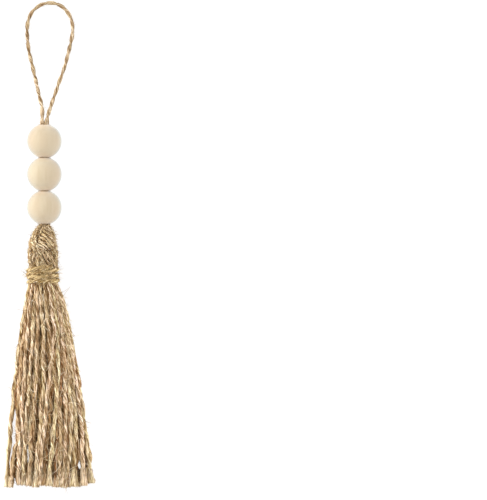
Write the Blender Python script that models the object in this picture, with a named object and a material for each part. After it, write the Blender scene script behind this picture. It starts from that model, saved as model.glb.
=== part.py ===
"""Jute tassel with three wooden beads and a twisted hanging loop, lying face up.

Metres, +Z up. +Y runs from the hem to the loop, and the tassel lies on z = 0.
The origin is below the middle of the beads and the tassel, the loop aside.
"""

import math
import random
from collections import namedtuple

import bmesh
import bpy
from mathutils import Vector

MM = 0.001
GAP = 0.3 * MM

# Beads, turned about the tassel's axis
AXIS_X = -1.85 * MM
BEADS_END_Y = 83.2 * MM
BEAD_NAMES = ("bead_top", "bead_middle", "bead_bottom")
BEAD_DIAMETER = 16.0 * MM
BEAD_LENGTH = 14.9 * MM
BEAD_PITCH = BEAD_LENGTH + GAP
BEAD_BORE = 4.4 * MM
BORE_CHAMFER = 0.3 * MM
BEAD_SIDES = 28
BEAD_ARC_STEPS = 11

# Twisted two-ply cord: the loop and the binding
CORD_SIDES = 8
CURVE_SAMPLES = 24
STEPS_PER_TWIST = 8
CORD_LONG = 0.83 * MM
CORD_SHORT = 0.48 * MM
CORD_TWIST = 10.5 * MM
LEG_OFFSET = 0.98 * MM
LEG_POINTS = 5
TWINE_LONG = 0.95 * MM
TWINE_SHORT = 0.75 * MM
TWINE_TWIST = 12.0 * MM

# Head of the tassel, with its waist under the binding and the backing that the
# strands grow from. Places down the head are in millimetres, as in its table.
HEAD_SIDES = 80
HEAD_RIDGES = 20
RIDGE_HEIGHT = 0.3 * MM
RIDGE_SLANT = 0.035 / MM
HEAD_TOP_Y = BEADS_END_Y - len(BEAD_NAMES) * BEAD_PITCH
WAIST_RADIUS = 5.3 * MM
WAIST_X = -0.7 * MM
WAIST_TOP = 18.8
WAIST_END = 27.0
BACKING_END = 29.3
BINDING_TURNS = 2.75
BINDING_PITCH = 2.05 * MM
BINDING_STEPS_PER_TURN = 48
BINDING_START = math.radians(-60)

# Skirt of strands in layers, the lowest on the floor, in millimetres. A layer's
# spread is its share of the skirt's width at the hem.
SKIRT_SEED = 7
LAYER_COUNTS = (9, 12, 12, 11, 8)
LAYER_SPREAD = (1.0, 0.98, 0.9, 0.78, 0.6)
SPREAD_OVER = 35.0
STRAND_WIDTH = 2.0
STRAND_CLEAR = 0.35
STRAND_ROOT = 1.2
STRAND_STEPS = 9
STEPS_CROWD_ROOT = 1.3
HEM_BELOW = 91.5
HEM_UNEVEN = 3.0
WANDER_MOST = 0.5
WANDER_LENGTH = 90.0

# Millimetres down from the head's top, across from the axis, half its width,
# height of its middle and half its height
HeadSection = namedtuple("HeadSection", "down across half_width middle half_height")
HEAD_SECTIONS = (
    HeadSection(0.0, 0.0, 2.6, 7.9, 2.6),
    HeadSection(1.4, -0.1, 3.5, 7.8, 3.5),
    HeadSection(3.0, -0.2, 4.7, 7.6, 4.8),
    HeadSection(4.8, -0.4, 5.5, 7.4, 5.7),
    HeadSection(7.5, -0.5, 6.2, 7.3, 6.6),
    HeadSection(11.0, -0.7, 6.6, 6.9, 7.2),
    HeadSection(14.5, -0.7, 7.0, 6.85, 7.3),
    HeadSection(17.8, -0.7, 7.1, 6.85, 7.3),
    HeadSection(WAIST_TOP, -0.7, 5.3, 7.5, 5.3),
    HeadSection(WAIST_END, -0.7, 5.3, 7.5, 5.3),
    HeadSection(27.6, -0.4, 6.9, 6.7, 6.5),
    HeadSection(BACKING_END, -0.2, 7.2, 6.5, 6.6),
)

# Millimetres below the backing, left and right edge from the axis, height of the top
SkirtSection = namedtuple("SkirtSection", "below left right top")
SKIRT_SECTIONS = (
    SkirtSection(-2.0, -7.1, 6.7, 12.8),
    SkirtSection(0.0, -7.3, 6.9, 12.9),
    SkirtSection(1.5, -8.0, 7.9, 13.2),
    SkirtSection(5.2, -9.2, 8.9, 13.6),
    SkirtSection(13.4, -10.8, 11.1, 13.3),
    SkirtSection(24.4, -13.0, 13.0, 12.7),
    SkirtSection(46.3, -14.9, 16.7, 11.4),
    SkirtSection(68.2, -17.1, 20.3, 10.2),
    SkirtSection(HEM_BELOW, -19.5, 23.3, 9.4),
)

# Millimetres beyond the top bead, across from the axis, height above the floor
LoopPoint = namedtuple("LoopPoint", "beyond across height")
LOOP_LEFT = (
    LoopPoint(4.0, -0.95, 7.7),
    LoopPoint(8.0, -1.1, 6.9),
    LoopPoint(13.2, -2.4, 5.3),
    LoopPoint(19.0, -3.8, 3.5),
    LoopPoint(26.5, -5.6, 1.7),
    LoopPoint(33.0, -7.2, 0.95),
    LoopPoint(39.0, -8.0, 0.85),
    LoopPoint(44.0, -8.2, 0.85),
    LoopPoint(48.5, -7.5, 0.85),
    LoopPoint(52.3, -5.5, 0.85),
    LoopPoint(55.0, -2.0, 0.85),
)
LOOP_TOP = LoopPoint(56.0, 2.4, 0.85)
LOOP_RIGHT = (
    LoopPoint(55.0, 6.6, 0.85),
    LoopPoint(52.3, 9.9, 0.85),
    LoopPoint(48.5, 12.0, 0.85),
    LoopPoint(44.0, 12.7, 0.85),
    LoopPoint(39.0, 12.1, 0.85),
    LoopPoint(33.0, 10.7, 0.95),
    LoopPoint(26.5, 9.0, 1.7),
    LoopPoint(19.0, 6.4, 3.5),
    LoopPoint(13.2, 4.5, 5.3),
    LoopPoint(8.0, 2.8, 6.9),
    LoopPoint(4.0, 1.6, 7.7),
)


def clear_scene():
    for old in list(bpy.data.objects):
        bpy.data.objects.remove(old, do_unlink=True)


def make_material(name, colour, roughness):
    made = bpy.data.materials.new(name)
    made.use_nodes = True
    shader = made.node_tree.nodes["Principled BSDF"]
    shader.inputs["Base Color"].default_value = (*colour, 1.0)
    shader.inputs["Roughness"].default_value = roughness
    shader.inputs["Metallic"].default_value = 0.0
    return made


def add_object(name, bm, material, location=(0.0, 0.0, 0.0), smooth=True):
    bmesh.ops.recalc_face_normals(bm, faces=bm.faces)
    mesh = bpy.data.meshes.new(name)
    bm.to_mesh(mesh)
    bm.free()
    mesh.materials.append(material)
    if smooth:
        mesh.shade_smooth()
        mesh.set_sharp_from_angle(angle=math.radians(50))
    made = bpy.data.objects.new(name, mesh)
    made.location = location
    bpy.context.collection.objects.link(made)
    return made


def add_tube(bm, rings):
    """A closed tube through rings of points, with a flat cap on each end."""
    loops = [[bm.verts.new(point) for point in ring] for ring in rings]
    sides = len(loops[0])
    for near, far in zip(loops, loops[1:]):
        for i in range(sides):
            j = (i + 1) % sides
            bm.faces.new((near[i], near[j], far[j], far[i]))
    bm.faces.new(reversed(loops[0]))
    bm.faces.new(loops[-1])


def interpolate(rows, key, at):
    """Each column of the rows, read off at a value of the key column."""
    places = [getattr(row, key) for row in rows]
    at = min(max(at, places[0]), places[-1])
    for low, high in zip(rows, rows[1:]):
        if at <= getattr(high, key):
            break
    share = (at - getattr(low, key)) / (getattr(high, key) - getattr(low, key))
    return type(low)(*(a + (b - a) * share for a, b in zip(low, high)))


def smoothstep(value):
    value = min(max(value, 0.0), 1.0)
    return value * value * (3.0 - 2.0 * value)


def smooth_path(points, step):
    """Points an even step apart along a Catmull-Rom curve through the route."""
    ends = [points[0] * 2 - points[1], *points, points[-1] * 2 - points[-2]]
    fine = [points[0]]
    for before, start, end, after in zip(ends, ends[1:], ends[2:], ends[3:]):
        for k in range(1, CURVE_SAMPLES + 1):
            t = k / CURVE_SAMPLES
            fine.append(
                0.5 * (2 * start + (end - before) * t)
                + 0.5 * (2 * before - 5 * start + 4 * end - after) * t**2
                + 0.5 * (3 * start - before - 3 * end + after) * t**3
            )
    lengths = [0.0]
    for a, b in zip(fine, fine[1:]):
        lengths.append(lengths[-1] + (b - a).length)
    count = round(lengths[-1] / step)
    path = []
    segment = 0
    for k in range(count + 1):
        want = lengths[-1] * k / count
        while segment < len(fine) - 2 and lengths[segment + 1] < want:
            segment += 1
        share = (want - lengths[segment]) / (lengths[segment + 1] - lengths[segment])
        path.append(fine[segment].lerp(fine[segment + 1], share))
    return path


def twisted_rings(path, reference, long_radius, short_radius, twist_length):
    """Rings of a two-ply cord, whose long section turns once in each twist length."""
    rings = []
    turned = 0.0
    for i, centre in enumerate(path):
        ahead = path[min(i + 1, len(path) - 1)]
        behind = path[max(i - 1, 0)]
        along = (ahead - behind).normalized()
        side = along.cross(reference).normalized()
        upward = side.cross(along)
        ring = []
        for k in range(CORD_SIDES):
            around = 2 * math.pi * k / CORD_SIDES
            radius = long_radius * math.cos(around) ** 2 + short_radius * math.sin(around) ** 2
            angle = around + turned
            ring.append(centre + radius * (math.cos(angle) * side + math.sin(angle) * upward))
        rings.append(ring)
        if i + 1 < len(path):
            turned += 2 * math.pi * (path[i + 1] - centre).length / twist_length
    return rings


def bead_rest_height():
    """Height of a bead's axis when one of its flats lies on the floor."""
    arc = 2 * math.asin(BEAD_LENGTH / BEAD_DIAMETER)
    band_radius = BEAD_DIAMETER / 2 * math.cos(arc / BEAD_ARC_STEPS / 2)
    return band_radius * math.cos(math.pi / BEAD_SIDES)


def bead_profile():
    """Radius and place along the axis, round one cut side of a bead."""
    radius = BEAD_DIAMETER / 2
    half = BEAD_LENGTH / 2
    bore = BEAD_BORE / 2
    end_angle = math.asin(half / radius)
    outline = [(bore, -half + BORE_CHAMFER), (bore + BORE_CHAMFER, -half)]
    for k in range(BEAD_ARC_STEPS + 1):
        angle = end_angle * (2 * k / BEAD_ARC_STEPS - 1)
        outline.append((radius * math.cos(angle), radius * math.sin(angle)))
    outline += [(bore + BORE_CHAMFER, half), (bore, half - BORE_CHAMFER)]
    return outline


def build_bead(name, centre_y, wood):
    bm = bmesh.new()
    start = -math.pi / 2 + math.pi / BEAD_SIDES
    corners = [
        bm.verts.new((r * math.cos(start), along, r * math.sin(start)))
        for r, along in bead_profile()
    ]
    edges = [bm.edges.new((a, b)) for a, b in zip(corners, corners[1:] + corners[:1])]
    bmesh.ops.spin(
        bm,
        geom=corners + edges,
        cent=(0.0, 0.0, 0.0),
        axis=(0.0, 1.0, 0.0),
        angle=2 * math.pi,
        steps=BEAD_SIDES,
        use_merge=True,
    )
    add_object(name, bm, wood, (AXIS_X, centre_y, bead_rest_height()))


def build_beads(wood):
    for i, name in enumerate(BEAD_NAMES):
        build_bead(name, BEADS_END_Y - BEAD_LENGTH / 2 - i * BEAD_PITCH, wood)


def loop_route():
    """Up one leg through the beads, round the loop, and down the other leg."""
    leg_z = bead_rest_height()
    low_y = HEAD_TOP_Y + GAP
    leg_ys = [
        low_y + (BEADS_END_Y - low_y) * k / (LEG_POINTS - 1) for k in range(LEG_POINTS)
    ]
    left = [Vector((AXIS_X - LEG_OFFSET, y, leg_z)) for y in leg_ys]
    right = [Vector((AXIS_X + LEG_OFFSET, y, leg_z)) for y in reversed(leg_ys)]
    loop = [
        Vector((AXIS_X + p.across * MM, BEADS_END_Y + p.beyond * MM, p.height * MM))
        for p in (*LOOP_LEFT, LOOP_TOP, *LOOP_RIGHT)
    ]
    return left + loop + right


def build_loop_cord(jute):
    path = smooth_path(loop_route(), CORD_TWIST / STEPS_PER_TWIST)
    bm = bmesh.new()
    up = Vector((0.0, 0.0, 1.0))
    add_tube(bm, twisted_rings(path, up, CORD_LONG, CORD_SHORT, CORD_TWIST))
    add_object("loop_cord", bm, jute)


def build_binding(jute):
    """A few turns of twine wound round the waist, side by side."""
    radius = WAIST_RADIUS + GAP + TWINE_LONG
    middle = interpolate(HEAD_SECTIONS, "down", (WAIST_TOP + WAIST_END) / 2)
    centre = Vector((AXIS_X + WAIST_X, HEAD_TOP_Y - middle.down * MM, radius + TWINE_LONG))
    steps = round(BINDING_TURNS * BINDING_STEPS_PER_TURN)
    fine = []
    for k in range(steps + 1):
        turned = BINDING_TURNS * k / steps
        angle = 2 * math.pi * turned + BINDING_START
        along = (BINDING_TURNS / 2 - turned) * BINDING_PITCH
        spoke = Vector((math.cos(angle), 0.0, math.sin(angle)))
        fine.append(centre + radius * spoke + Vector((0.0, along, 0.0)))
    path = smooth_path(fine, TWINE_TWIST / STEPS_PER_TWIST)
    bm = bmesh.new()
    axis = Vector((0.0, 1.0, 0.0))
    add_tube(bm, twisted_rings(path, axis, TWINE_LONG, TWINE_SHORT, TWINE_TWIST))
    add_object("binding", bm, jute)


def head_rings():
    """Sections of the head, with the folded strands raised as slanting ridges."""
    rings = []
    for row in HEAD_SECTIONS:
        bare = WAIST_TOP <= row.down <= WAIST_END
        ridge = 0.0 if bare or row.down == 0.0 else RIDGE_HEIGHT
        ring = []
        for k in range(HEAD_SIDES):
            angle = 2 * math.pi * k / HEAD_SIDES
            phase = HEAD_RIDGES * (angle + row.down * MM * RIDGE_SLANT)
            raised = ridge * math.cos(phase)
            x = AXIS_X + row.across * MM + (row.half_width * MM + raised) * math.cos(angle)
            z = row.middle * MM + (row.half_height * MM + raised) * math.sin(angle)
            ring.append(Vector((x, HEAD_TOP_Y - row.down * MM, max(z, 0.0))))
        rings.append(ring)
    return rings


def strand_rings(layer, column, length, wander):
    """Level four-sided sections of one strand, from inside the backing to its end."""
    count = LAYER_COUNTS[layer]
    place = 2.0 * column / (count - 1) - 1.0
    chord = math.sqrt(1.0 - ((2 * layer + 1) / len(LAYER_COUNTS) - 1.0) ** 2)
    rings = []
    for k in range(STRAND_STEPS + 1):
        share = (k / STRAND_STEPS) ** STEPS_CROWD_ROOT
        below = -STRAND_ROOT + (length + STRAND_ROOT) * share
        row = interpolate(SKIRT_SECTIONS, "below", below)
        opened = smoothstep(below / SPREAD_OVER)
        spread = chord + (LAYER_SPREAD[layer] - chord) * opened
        room = (row.right - row.left) * spread
        width = min(STRAND_WIDTH, (room - STRAND_CLEAR * (count - 1)) / count)
        pitch = (room - width) / (count - 1)
        spare = max(0.0, min(WANDER_MOST, (pitch - width - STRAND_CLEAR) / 2))
        swing = spare * math.sin(wander + 2 * math.pi * below / WANDER_LENGTH)
        x = (row.left + row.right) / 2 + (room - width) / 2 * place + swing
        storey = row.top / len(LAYER_COUNTS)
        bottom = layer * storey
        top = bottom + storey - STRAND_CLEAR
        y = HEAD_TOP_Y - (BACKING_END + below) * MM
        left_x = AXIS_X + (x - width / 2) * MM
        right_x = AXIS_X + (x + width / 2) * MM
        corners = ((left_x, bottom), (right_x, bottom), (right_x, top), (left_x, top))
        rings.append([Vector((cx, y, cz * MM)) for cx, cz in corners])
    return rings


def build_strands(jute):
    """The strands as loose solids, fused into the head afterwards."""
    drawn = random.Random(SKIRT_SEED)
    bm = bmesh.new()
    for layer, count in enumerate(LAYER_COUNTS):
        for column in range(count):
            length = HEM_BELOW - HEM_UNEVEN * drawn.random()
            wander = 2 * math.pi * drawn.random()
            add_tube(bm, strand_rings(layer, column, length, wander))
    strands = add_object("strands", bm, jute, smooth=False)
    strands.hide_render = True
    strands.display_type = "WIRE"
    return strands


def build_tassel(jute):
    bm = bmesh.new()
    add_tube(bm, head_rings())
    head = add_object("tassel", bm, jute)
    fuse = head.modifiers.new("fuse_strands", "BOOLEAN")
    fuse.operation = "UNION"
    fuse.solver = "EXACT"
    fuse.object = build_strands(jute)


def main():
    clear_scene()
    wood = make_material("pale_wood", (0.80, 0.66, 0.49), 0.55)
    jute = make_material("jute", (0.52, 0.37, 0.21), 0.9)
    cord_jute = make_material("cord_jute", (0.50, 0.36, 0.21), 0.9)
    binding_jute = make_material("binding_jute", (0.58, 0.39, 0.20), 0.9)
    build_beads(wood)
    build_loop_cord(cord_jute)
    build_tassel(jute)
    build_binding(binding_jute)


main()
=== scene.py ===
"""Looks of the jute tassel, which lies face up on a pale floor.

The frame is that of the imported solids: metres, +Z up, and +Y from the hem to the loop.
Yarn and fibres are worked out in millimetres, and Pile.build makes metres of them. Tables
give places across from the beads' axis, down from the top of the tassel's head, and in
height above the floor, and for the loop, beyond the top bead. Angles are in radians.
"""

import math
from collections import namedtuple

import bpy
import numpy as np
from mathutils import Matrix, Vector


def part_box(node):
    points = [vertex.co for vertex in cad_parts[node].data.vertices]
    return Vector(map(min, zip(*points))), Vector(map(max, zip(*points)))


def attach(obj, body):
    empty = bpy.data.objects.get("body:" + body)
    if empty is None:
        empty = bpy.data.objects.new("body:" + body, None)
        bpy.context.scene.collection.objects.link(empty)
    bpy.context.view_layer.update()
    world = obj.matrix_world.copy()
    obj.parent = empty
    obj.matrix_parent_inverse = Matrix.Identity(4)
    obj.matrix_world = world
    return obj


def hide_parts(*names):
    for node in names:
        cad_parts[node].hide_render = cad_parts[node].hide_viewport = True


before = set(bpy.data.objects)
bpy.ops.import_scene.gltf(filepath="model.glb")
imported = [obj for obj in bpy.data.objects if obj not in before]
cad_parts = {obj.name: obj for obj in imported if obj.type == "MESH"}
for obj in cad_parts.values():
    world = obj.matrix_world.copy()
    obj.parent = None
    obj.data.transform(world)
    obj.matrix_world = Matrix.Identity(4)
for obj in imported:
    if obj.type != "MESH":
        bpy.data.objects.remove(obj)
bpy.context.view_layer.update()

MM = 0.001
TURN = 2 * math.pi
RIGHT = np.array((1.0, 0.0, 0.0))
ALONG = np.array((0.0, 1.0, 0.0))
UP = np.array((0.0, 0.0, 1.0))


def table(fields, *rows):
    """Rows of values, named by the fields."""
    row_kind = namedtuple("Row", fields)
    return [row_kind(*row) for row in rows]


# Steps along a smooth path, from each point of its route to the next
CURVE_STEPS = 24

# Each tube lies elsewhere in the fibres' pattern, shifted at random by up to this far
PATTERN_SHIFT = 90

# The twist of two plies: the length of a full turn, a ply's share of the strand's radius,
# how far the turn drifts, the sides of a ply, and how dark the seam between the plies is
# painted, a painted shade
Yarn = namedtuple("Yarn", "twist full loose sides groove", defaults=(0.0,))

# A strand's tone from dark to pale, its hue from olive to pink, how red it is, and how far
# its tone and hue wander along it
Look = namedtuple("Look", "tone hue red uneven", defaults=(0.14,))

# A kind of loose fibre: its least and greatest radius, the points along it, how much it
# curls, and how much it sags
Fibre = namedtuple("Fibre", "radii stations curl sag")
FUZZ = Fibre((0.04, 0.085), 5, 0.7, 0.0)
FINE_FUZZ = Fibre((0.025, 0.045), 5, 0.7, 0.0)
FLYAWAY = Fibre((0.06, 0.11), 9, 2.2, 0.2)
SLIVER = Fibre((0.10, 0.18), 7, 0.35, 0.26)
FUZZ_TONES = (0.4, 1.0)
FLYAWAY_TONES = (0.85, 1.0)
HAIR_SIDES = 3
HAIR_TIP = 0.35

# Slivers are dark or pale: the tones of both, and the share of dark ones
SLIVER_TONES = (0.15, 0.85)
DARK_SLIVERS = 0.3
SLIVER_SPREAD = 0.2

# How many loose fibres a strand carries, and the length that sets how long they get
Amount = namedtuple("Amount", "count longest")

# How lumpy a ply is, how its fibres lie, where the painted shade of its seam runs, and how
# plies differ
PLY_LUMPS = (0.07, 0.05)
PLY_SWELL = 0.06
PLY_LAY = 0.9
SEAM_SHADE_START = 0.05
SEAM_SHADE_RUN = 0.55
PLY_TONE_SPREAD = 0.07
PLY_HUE_SPREAD = 0.15

# The photograph's frame, and the real size of one of its pixels at the focus height
IMAGE_WIDTH = 487
IMAGE_HEIGHT = 500
PIXEL = 0.457 * MM
AXIS_PIXEL_X = 44.5
BEADS_END_PIXEL_Y = 124.8
CAMERA_DISTANCE = 2.0
FOCUS_HEIGHT = 6.0 * MM

# Floor and lights
FLOOR_REACH = 3.0
FLOOR_FINISH = {
    "Base Color": (0.15, 0.15, 0.15, 1.0),
    "Roughness": 0.7,
    "Specular IOR Level": 0.1,
    "Emission Color": (1.0, 1.0, 1.0, 1.0),
    "Emission Strength": 0.9,
}
SKY_STRENGTH = 1.78
LAMPS = table(
    "name at aim size power colour",
    ("key", (-0.98, 0.38, 0.60), (0.0, 0.0, 0.0), 0.9, 17.0, (1.0, 1.0, 0.98)),
    ("fill", (1.1, -0.1, 0.16), (0.05, 0.0, 0.0), 0.5, 7.0, (1.0, 1.0, 1.0)),
)

# Linear colours of each jute, dark, middling and pale
TASSEL_COLOURS = ((0.175, 0.094, 0.036), (0.58, 0.434, 0.272), (0.70, 0.606, 0.47))
CORD_COLOURS = ((0.22, 0.14, 0.075), (0.43, 0.33, 0.22), (0.58, 0.50, 0.385))
BINDING_COLOURS = ((0.25, 0.155, 0.06), (0.53, 0.40, 0.215), (0.66, 0.55, 0.37))
JUTE_FINISH = {
    "Roughness": 0.8,
    "Specular IOR Level": 0.15,
    "Sheen Weight": 0.04,
    "Sheen Roughness": 0.4,
}
JUTE_RELIEF = 0.14 * MM
WOOD_FINISH = {
    "Roughness": 0.72,
    "Specular IOR Level": 0.25,
    "Sheen Weight": 1.0,
    "Sheen Roughness": 0.45,
    "Sheen Tint": (0.70, 0.88, 1.0, 1.0),
}
WOOD_RELIEF = 0.05 * MM

# Yarn and fibres stay this far above the floor, in millimetres
FLOOR_CLEARANCE = 0.02

# Sizes read off the solids
BEAD_NODES = ("bead_top", "bead_middle", "bead_bottom")
BEAD_LOW, BEAD_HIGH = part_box("bead_top")
AXIS_X = (BEAD_LOW[0] + BEAD_HIGH[0]) / 2
BEADS_END_Y = BEAD_HIGH[1]
HEAD_TOP_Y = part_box("tassel")[1][1]
BORE_Z = (BEAD_LOW[2] + BEAD_HIGH[2]) / 2

# Beads, with a flat ring round the bore. The wood reaches past its solid by the growth
BEAD_RADIUS = BORE_Z
BORE_RADIUS = 2.2 * MM
RING_RADIUS = 2.85 * MM
BEAD_EDGE = 0.25 * MM
BEAD_GROWTH = 0.08 * MM
BEAD_SIDES = 96
BEAD_ARC_STEPS = 40
BEAD_SHARP_ANGLE = math.radians(40)
BEAD_GRAIN_TURN = 2.1

# Hanging loop, in the same route as its solid
LOOP_POINTS = table(
    "beyond across height",
    (4.0, -0.95, 7.7),
    (8.0, -1.1, 6.9),
    (13.2, -2.4, 5.3),
    (19.0, -3.8, 3.5),
    (26.5, -5.6, 1.7),
    (33.0, -7.2, 0.95),
    (39.0, -8.0, 0.85),
    (44.0, -8.2, 0.85),
    (48.5, -7.5, 0.85),
    (52.3, -5.5, 0.85),
    (55.0, -2.0, 0.85),
    (56.0, 2.4, 0.85),
    (55.0, 6.6, 0.85),
    (52.3, 9.9, 0.85),
    (48.5, 12.0, 0.85),
    (44.0, 12.7, 0.85),
    (39.0, 12.1, 0.85),
    (33.0, 10.7, 0.95),
    (26.5, 9.0, 1.7),
    (19.0, 6.4, 3.5),
    (13.2, 4.5, 5.3),
    (8.0, 2.8, 6.9),
    (4.0, 1.6, 7.7),
)
LOOP_STEP = 0.55

# Its two legs run through the beads on either side of the axis, and stop clear of the head
LEG_OFFSET = 0.98
LEG_POINTS = 5
LEG_CLEARANCE = 0.3

# Its yarn is a little looser than the solid, and swells as it nears the top bead
CORD_RADIUS = 0.83
CORD_LOFT = 1.1
LEG_SWELL = 0.2
LEG_SWELL_RUN = 10.0
CORD_YARN = Yarn(10.5, 0.61, 0.3, 12)
CORD_LOOK = Look(0.58, 0.65, 0.0, 0.06)
CORD_FUZZ = Amount(420, 3.0)
CORD_FUZZ_START = 1.0

# Head of the tassel
HEAD_SECTIONS = table(
    "down across half_width middle half_height",
    (-0.1, 0.0, 2.3, 7.9, 2.3),
    (0.4, 0.0, 2.7, 7.9, 2.7),
    (1.4, -0.1, 3.5, 7.8, 3.5),
    (3.0, -0.2, 4.7, 7.6, 4.8),
    (4.8, -0.4, 5.6, 7.4, 5.7),
    (7.5, -0.5, 6.3, 7.3, 6.6),
    (11.0, -0.7, 6.8, 7.0, 7.0),
    (14.5, -0.7, 7.1, 6.9, 7.1),
    (17.0, -0.7, 7.1, 7.0, 7.1),
    (19.5, -0.5, 6.8, 7.3, 6.6),
    (21.0, -0.6, 6.2, 7.4, 6.2),
    (23.0, -0.7, 5.7, 7.5, 5.7),
)
HEAD_START = -0.25
HEAD_FOOT = 21.0
HEAD_STEP = 0.6

# Its strands: the angle that they wind round it, and how far they sink where others lie
# over them
HEAD_STRANDS = 27
HEAD_STATIONS = 34
HEAD_SLANT = 1.7
HEAD_SINK = 1.15
HEAD_TWISTS = (6.5, 9.0)
HEAD_FRONT_TONES = (0.24, 0.64)
HEAD_BACK_TONES = (0.2, 0.7)
HEAD_FUZZ = Amount(44, 2.6)
HEAD_FUZZ_TONES = (0.3, 1.0)

# Its packed middle: how deep that lies and its tone, each by the place down the head. Its
# tone is dark below the top, a painted shade where it shows between the strands, and its
# redness is painted shade too
CORE_END = 24.0
CORE_STATIONS = 40
CORE_SIDES = 40
CORE_LOWEST = 0.4
CORE_DEPTHS = ((0.0, 3.0), (0.35, 2.4))
CORE_SHADE_TONES = ((0.8, 3.0), (0.75, 0.0))
CORE_HUE = 0.2
CORE_SHADE_RED = 0.5

# Strands that lie over the front of the head, each through points of across and down,
# which are tucked in where they start
HEAD_FRONT = table(
    "radius tone hue route",
    (0.92, 0.90, 0.07, ((-2.4, 0.6), (-4.7, 3.7), (-5.3, 6.7), (-4.8, 10.0), (-3.5, 12.0))),
    (0.70, 0.78, 0.15, ((-1.7, 1.2), (-3.5, 4.9), (-3.8, 7.4), (-3.2, 9.9), (-2.0, 11.6))),
    (0.50, 0.84, 0.20, ((-3.1, 2.4), (-1.7, 0.8), (0.4, 0.6), (2.1, 1.6), (3.4, 3.4))),
    (0.48, 0.70, 0.15, ((-1.6, 4.0), (-0.9, 2.3), (0.6, 1.7), (2.0, 2.9), (3.2, 4.9))),
    (0.62, 0.74, 0.10, ((-0.9, 2.5), (1.8, 4.4), (3.9, 7.2), (5.2, 10.0), (6.0, 14.1), (6.2, 21.0))),
    (0.62, 0.68, 0.05, ((-1.2, 4.2), (1.0, 5.7), (3.0, 8.2), (4.5, 11.2), (5.3, 15.0), (5.5, 21.0))),
    (0.60, 0.74, 0.15, ((-1.4, 5.8), (0.4, 7.0), (2.3, 9.4), (3.8, 12.4), (4.9, 16.4), (5.2, 21.0))),
    (0.62, 0.74, 0.23, ((-2.3, 7.6), (-0.5, 8.5), (1.5, 10.9), (3.2, 14.2), (4.4, 18.0), (4.8, 21.0))),
    (0.60, 0.78, 0.35, ((-2.8, 9.0), (-0.8, 9.9), (0.9, 12.2), (2.4, 15.5), (3.8, 19.2), (4.2, 21.0))),
    (0.60, 0.74, 0.38, ((-2.9, 10.8), (-1.2, 11.5), (0.2, 13.8), (1.6, 17.0), (3.0, 21.0))),
    (0.62, 0.80, 0.28, ((-2.2, 12.4), (-1.4, 14.4), (-0.3, 16.6), (1.0, 18.8), (1.8, 21.0))),
    (0.78, 0.88, 0.17, ((-3.0, 11.4), (-2.7, 13.8), (-2.6, 16.4), (-2.2, 21.0))),
    (0.66, 0.76, 0.35, ((-1.2, 16.8), (-0.9, 18.6), (-0.4, 21.0))),
    (0.70, 0.82, 0.30, ((-5.4, 9.0), (-6.0, 11.6), (-6.1, 14.6), (-5.9, 17.6), (-5.0, 21.0))),
    (0.62, 0.64, 0.40, ((-4.4, 12.9), (-4.6, 14.6), (-5.0, 16.4), (-4.2, 21.0))),
    # This strand along the head's right edge is pale, a painted light on that side
    (0.60, 0.95, 0.10, ((3.4, 1.9), (5.2, 5.2), (6.1, 9.0), (6.6, 14.0), (6.6, 21.0))),
)
HEAD_TUCK = 2.5
HEAD_FRONT_FUZZ = Amount(120, 2.6)
HEAD_SLIVERS = Amount(18, 3.2)

# Binding
BINDING_TURNS = 3.35
BINDING_PITCH = 1.95
BINDING_RADIUS = 6.6
BINDING_TWINE = 1.05
BINDING_DOWN = 22.9
BINDING_ACROSS = -0.7
BINDING_MIDDLE = 7.65
BINDING_STATIONS = 240
BINDING_STEP = 0.6
BINDING_YARN = Yarn(13.0, 0.62, 0.3, 12)
BINDING_LOOK = Look(0.62, 0.45, 0.0, 0.1)
BINDING_FUZZ = Amount(900, 3.5)

# Slivers lie on its front, which is above this height, and mat its turns from a place
# across to the right
BINDING_FRONT = BINDING_MIDDLE + 3.6
BINDING_SLIVERS = Amount(16, 4.0)
BINDING_MATTED = -1.0
BINDING_MAT = Amount(90, 2.4)
BINDING_MAT_SPREAD = 0.8
BINDING_MAT_TONES = (0.66, 0.86)

# How far the binding's turns lean: counts of turns from the top, and then the leans
BINDING_LEANS = ((0.0, 1.0, 1.8, 2.5, 3.4), (0.75, 0.75, 0.1, -0.35, 0.15))

# Skirt, with the space that its strands fill at each place down it
SKIRT_SECTIONS = table(
    "down left right low high strand",
    (20.0, -6.2, 4.8, 2.0, 13.0, 0.62),
    (24.5, -6.4, 5.0, 1.8, 13.2, 0.66),
    (28.0, -8.0, 7.6, 0.2, 13.4, 0.76),
    (31.0, -8.6, 8.6, 0.0, 13.6, 0.80),
    (34.5, -9.5, 9.5, 0.0, 13.5, 0.84),
    (42.7, -11.0, 11.6, 0.0, 13.0, 0.92),
    (53.7, -13.0, 13.2, 0.0, 12.2, 0.98),
    (75.6, -15.2, 17.1, 0.0, 10.6, 1.06),
    (97.5, -17.3, 20.3, 0.0, 9.4, 1.12),
    (121.0, -18.9, 23.3, 0.0, 8.6, 1.15),
)
SKIRT_STRANDS = 66
SKIRT_STATION = 2.0
SKIRT_STEP = 1.15
SKIRT_END = 121.0
SKIRT_TWISTS = (12.0, 19.0)
SKIRT_FULLS = (0.59, 0.67)
# Painted shade in the seams between the skirt's plies
SKIRT_SEAM_PAINTED_SHADE = 0.23
SKIRT_KINK = 0.2

# The strands spread freely from here on, and are pushed apart in steps
SPREAD_START = 27.0
SPREAD_RUN = 30.0
SETTLE_STEPS = 160
SETTLE_PUSH = 0.45
STRANDS_PRESSED = 0.97

# Hairs on a strand, by how deep it lies under the uppermost one
HAIRY_DEPTHS = (2.0, 7.0)
HAIRS_BY_DEPTH = (160, 50)
HAIR_LONGEST = 4.5
SLIVERS = Amount(28, 9.0)
FLYAWAYS = 24
FLYAWAYS_AT_SIDE = 8

# Towards its end a strand narrows by one share over the neck, and by another at its tip
NECK = 0.24
NECK_START = 11.0
NECK_RUN = 9.0
TIP = 0.3
TIP_RUN = 2.5

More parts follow.
